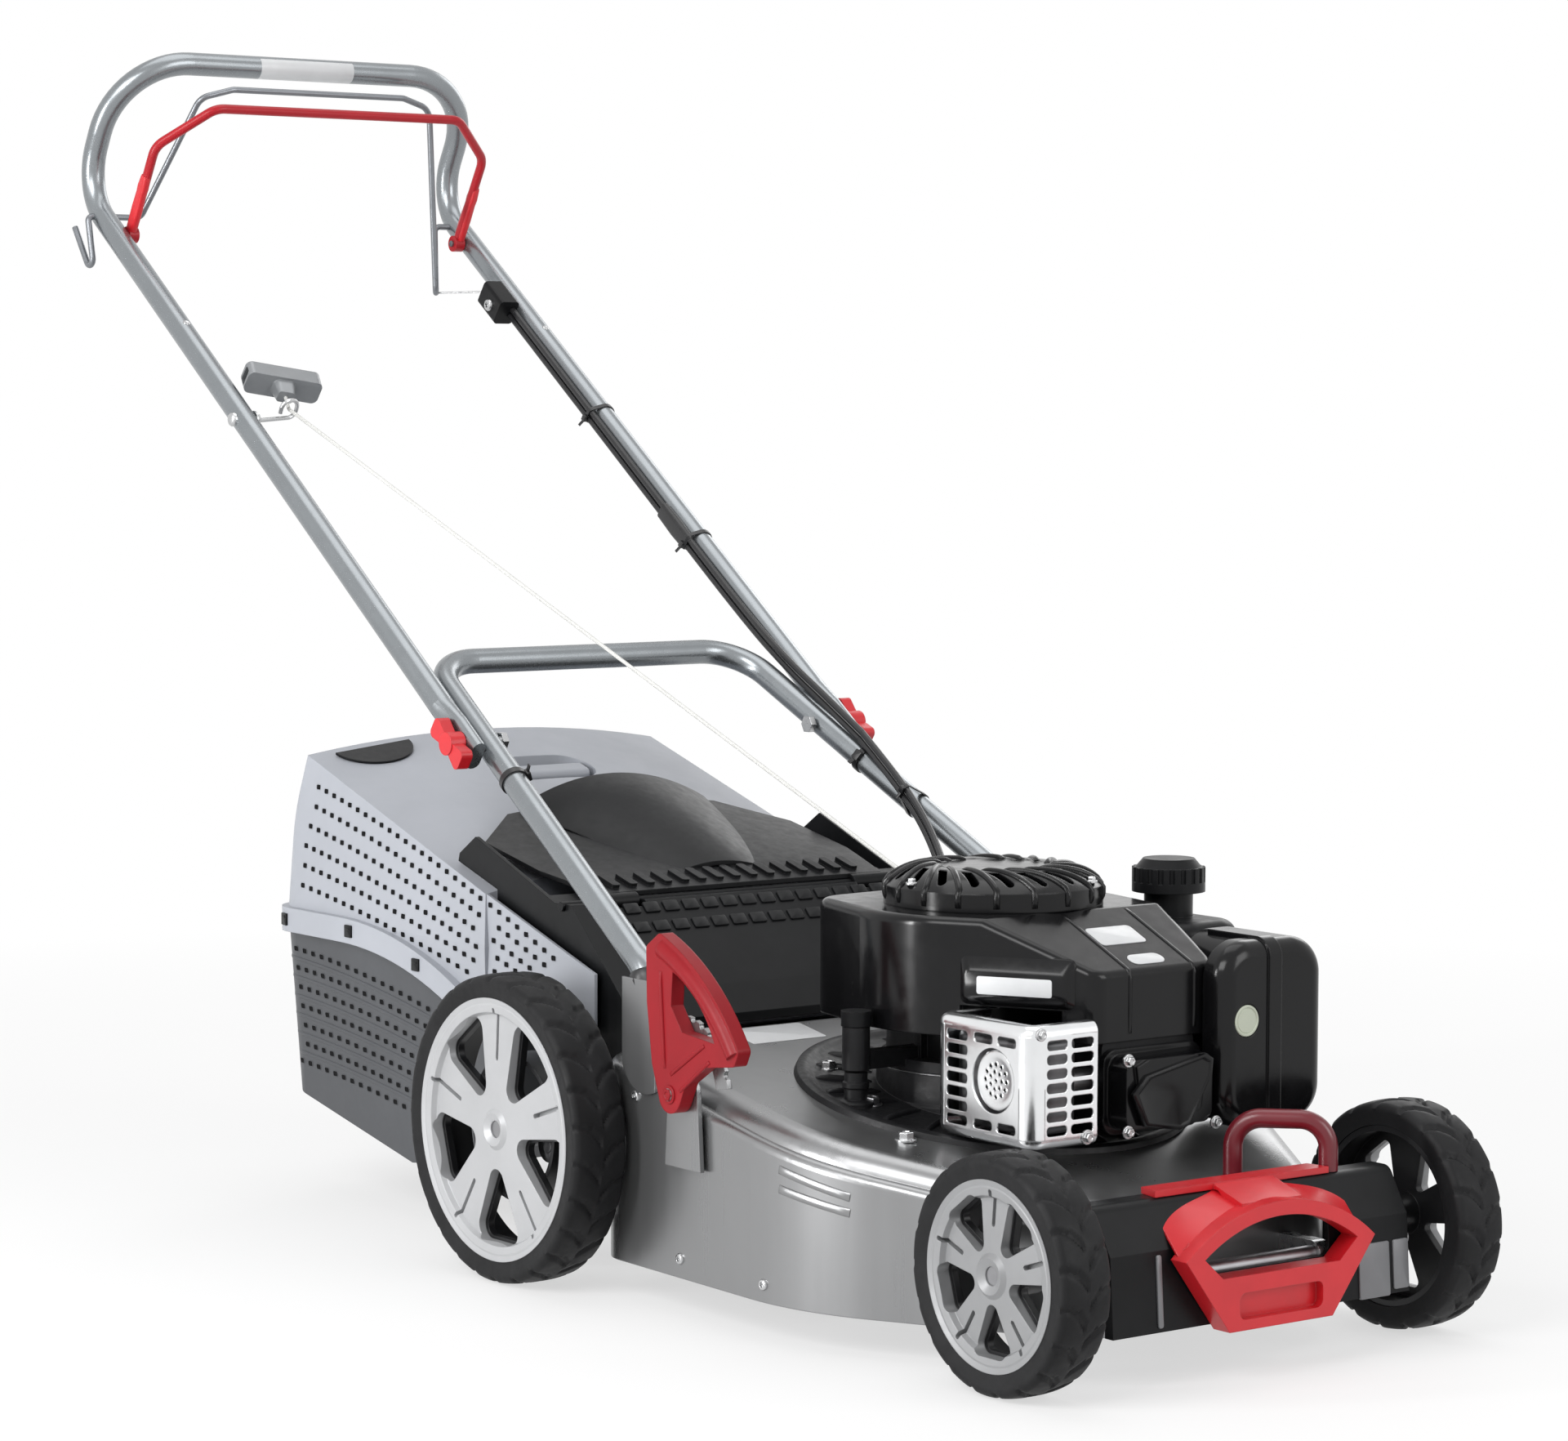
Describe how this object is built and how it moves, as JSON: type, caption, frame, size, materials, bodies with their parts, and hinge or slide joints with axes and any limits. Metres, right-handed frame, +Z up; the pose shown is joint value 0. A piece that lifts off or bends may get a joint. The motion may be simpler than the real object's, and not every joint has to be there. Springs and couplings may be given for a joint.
{
  "type": "lawn mower",
  "caption": "Walk-behind rotary lawn mower with petrol engine, folding tube handle with bails, rear grass catcher, height lever and front carry grip.",
  "frame": {"origin": "middle of the bounding box at ground level", "axes": "+X to the front of the mower, +Y to its left, +Z up"},
  "size_m": [1.4928, 0.566, 1.048],
  "materials": {
    "deck_silver": "satin silver paint on pressed steel",
    "black_plastic": "grained black moulding",
    "engine_black": "satin black moulding",
    "red_plastic": "satin red moulding",
    "dark_red": "dark red coat",
    "rim_grey": "silver-grey moulding",
    "tyre": "moulded rubber tread",
    "handle_tube": "satin silver coat",
    "bright_steel": "zinc plate",
    "forged_steel": "machined steel",
    "cast_alloy": "cast alloy",
    "cable_black": "sheathed cable",
    "rope_white": "braided cord",
    "bag_light": "grained grey moulding",
    "bag_dark": "grained dark grey moulding",
    "grip_grey": "satin grey moulding",
    "belt_rubber": "rubber belt"
  },
  "bodies": {
    "deck": {"deck_housing": "deck_silver", "rear_hood": "black_plastic", "axle_bearings": "bright_steel", "gearbox": "cast_alloy", "drive_belt": "belt_rubber", "crankcase": "cast_alloy", "cylinder": "cast_alloy", "rocker_cover": "engine_black", "muffler": "forged_steel", "muffler_guard": "bright_steel", "blower_housing": "engine_black", "recoil_cover": "engine_black", "fuel_tank": "black_plastic", "air_filter": "engine_black", "front_cover": "black_plastic", "carry_grip": "red_plastic", "front_bow": "dark_red", "lower_handle": "handle_tube", "handle_brackets": "bright_steel", "fold_bolts": "bright_steel", "flap_hinge_rod": "bright_steel", "height_quadrant": "bright_steel", "cables_lower": "cable_black", "cables_fold": "cable_black", "starter_rope": "rope_white"},
    "rear_axle": {"rear_axle": "forged_steel"},
    "front_axle": {"front_axle": "forged_steel"},
    "drive_shaft": {"drive_shaft": "forged_steel"},
    "input_pulley": {"input_pulley": "forged_steel"},
    "crank": {"crankshaft": "forged_steel", "flywheel": "cast_alloy", "blade_holder": "forged_steel", "blade": "forged_steel"},
    "recoil_reel": {"recoil_reel": "engine_black"},
    "fuel_cap": {"fuel_cap": "black_plastic"},
    "dipstick": {"dipstick": "black_plastic"},
    "upper_handle": {"upper_handle": "handle_tube", "cable_bracket": "black_plastic", "cables_upper": "cable_black", "stop_wire": "bright_steel", "rope_guide": "bright_steel"},
    "wing_nut_right": {"wing_nut_right": "red_plastic"},
    "wing_nut_left": {"wing_nut_left": "red_plastic"},
    "drive_bail": {"drive_bail": "red_plastic"},
    "stop_bail": {"stop_bail": "bright_steel"},
    "starter_grip": {"starter_grip": "grip_grey", "rope_tail": "rope_white"},
    "rear_flap": {"rear_flap": "black_plastic"},
    "catcher": {"catcher_upper": "bag_light", "catcher_lower": "bag_dark"},
    "level_flap": {"level_flap": "black_plastic"},
    "height_lever": {"height_lever": "red_plastic"},
    "wheel_rear_right": {"tyre_rear_right": "tyre", "rim_rear_right": "rim_grey"},
    "wheel_rear_left": {"tyre_rear_left": "tyre", "rim_rear_left": "rim_grey"},
    "wheel_front_right": {"tyre_front_right": "tyre", "rim_front_right": "rim_grey"},
    "wheel_front_left": {"tyre_front_left": "tyre", "rim_front_left": "rim_grey"}
  },
  "joints": [
    {"name": "height_adjust", "type": "hinge", "parent": "deck", "child": "rear_axle", "pos_m": [0.13119, 0, 0.117], "axis": [0, 1, 0], "range_deg": [-55.6, 17.8]},
    {"name": "front_height", "type": "hinge", "parent": "deck", "child": "front_axle", "pos_m": [0.69719, 0, 0.08], "axis": [0, 1, 0], "range_deg": [-55.6, 17.8]},
    {"name": "lever_swing", "type": "hinge", "parent": "deck", "child": "height_lever", "pos_m": [0.2984, -0.245, 0.18], "axis": [0, 1, 0], "range_deg": [-14.3, 44.6]},
    {"name": "drive_spin", "type": "hinge", "parent": "deck", "child": "drive_shaft", "pos_m": [0.13119, 0, 0.117], "axis": [0, 1, 0], "continuous": true},
    {"name": "crank_spin", "type": "hinge", "parent": "deck", "child": "crank", "pos_m": [0.3904, 0, 0.06], "axis": [0, 0, 1], "continuous": true},
    {"name": "input_spin", "type": "hinge", "parent": "deck", "child": "input_pulley", "pos_m": [0.13119, 0, 0.092], "axis": [0, 0, 1], "continuous": true},
    {"name": "recoil_turn", "type": "hinge", "parent": "deck", "child": "recoil_reel", "pos_m": [0.3904, 0, 0.336], "axis": [0, 0, 1], "range_deg": [0, 910]},
    {"name": "cap_turn", "type": "hinge", "parent": "deck", "child": "fuel_cap", "pos_m": [0.4204, 0.16, 0.34], "axis": [0, 0, 1], "range_deg": [0, 90]},
    {"name": "dipstick_turn", "type": "hinge", "parent": "deck", "child": "dipstick", "pos_m": [0.3844, -0.133, 0.24], "axis": [0, 0, 1], "range_deg": [0, 180]},
    {"name": "handle_fold", "type": "hinge", "parent": "deck", "child": "upper_handle", "pos_m": [-0.0746, 0, 0.42896], "axis": [0, 1, 0], "range_deg": [0, 130], "deforming": ["cables_fold", "starter_rope"]},
    {"name": "nut_right_turn", "type": "hinge", "parent": "deck", "child": "wing_nut_right", "pos_m": [-0.0746, -0.212, 0.42896], "axis": [0, 1, 0], "continuous": true},
    {"name": "nut_left_turn", "type": "hinge", "parent": "deck", "child": "wing_nut_left", "pos_m": [-0.0746, 0.212, 0.42896], "axis": [0, 1, 0], "continuous": true},
    {"name": "drive_bail_swing", "type": "hinge", "parent": "upper_handle", "child": "drive_bail", "pos_m": [-0.6916, 0, 0.87284], "axis": [0, 1, 0], "range_deg": [-22.5, 0], "stiffness_Nm_per_rad": 1.5, "springref_deg": 28.65},
    {"name": "stop_bail_swing", "type": "hinge", "parent": "upper_handle", "child": "stop_bail", "pos_m": [-0.7156, 0, 0.8901], "axis": [0, 1, 0], "range_deg": [-9.5, 0], "deforming": ["stop_wire"]},
    {"name": "starter_pull", "type": "slide", "parent": "upper_handle", "child": "starter_grip", "axis": [-0.7511, 0.2504, 0.6109], "range_m": [0, 0.55], "stiffness_N_per_m": 25, "springref_m": -0.3, "deforming": ["rope_tail"]},
    {"name": "flap_swing", "type": "hinge", "parent": "deck", "child": "rear_flap", "pos_m": [0.0524, 0, 0.3], "axis": [0, 1, 0], "range_deg": [0, 38], "stiffness_Nm_per_rad": 0.8, "springref_deg": -22.92},
    {"name": "catcher_slide", "type": "slide", "parent": "deck", "child": "catcher", "axis": [-1, 0, 0], "range_m": [0, 0.4]},
    {"name": "level_swing", "type": "hinge", "parent": "catcher", "child": "level_flap", "pos_m": [-0.34248, -0.13005, 0.40313], "axis": [-0.0376, -0.9921, -0.1198], "range_deg": [0, 30]},
    {"name": "spin_rear_right", "type": "hinge", "parent": "rear_axle", "child": "wheel_rear_right", "pos_m": [0.0904, -0.258, 0.127], "axis": [0, 1, 0], "continuous": true},
    {"name": "spin_rear_left", "type": "hinge", "parent": "rear_axle", "child": "wheel_rear_left", "pos_m": [0.0904, 0.258, 0.127], "axis": [0, 1, 0], "continuous": true},
    {"name": "spin_front_right", "type": "hinge", "parent": "front_axle", "child": "wheel_front_right", "pos_m": [0.6564, -0.199, 0.09], "axis": [0, 1, 0], "continuous": true},
    {"name": "spin_front_left", "type": "hinge", "parent": "front_axle", "child": "wheel_front_left", "pos_m": [0.6564, 0.199, 0.09], "axis": [0, 1, 0], "continuous": true}
  ],
  "couplings": [
    {"joint": "front_height", "follows": "height_adjust", "ratio": 1},
    {"joint": "lever_swing", "follows": "height_adjust", "ratio": -0.8},
    {"joint": "input_spin", "follows": "crank_spin", "ratio": 1.5161},
    {"joint": "stop_bail_swing", "follows": "drive_bail_swing", "ratio": 0.42},
    {"joint": "recoil_turn", "follows": "starter_pull", "rad_per_m": 28.5}
  ]
}
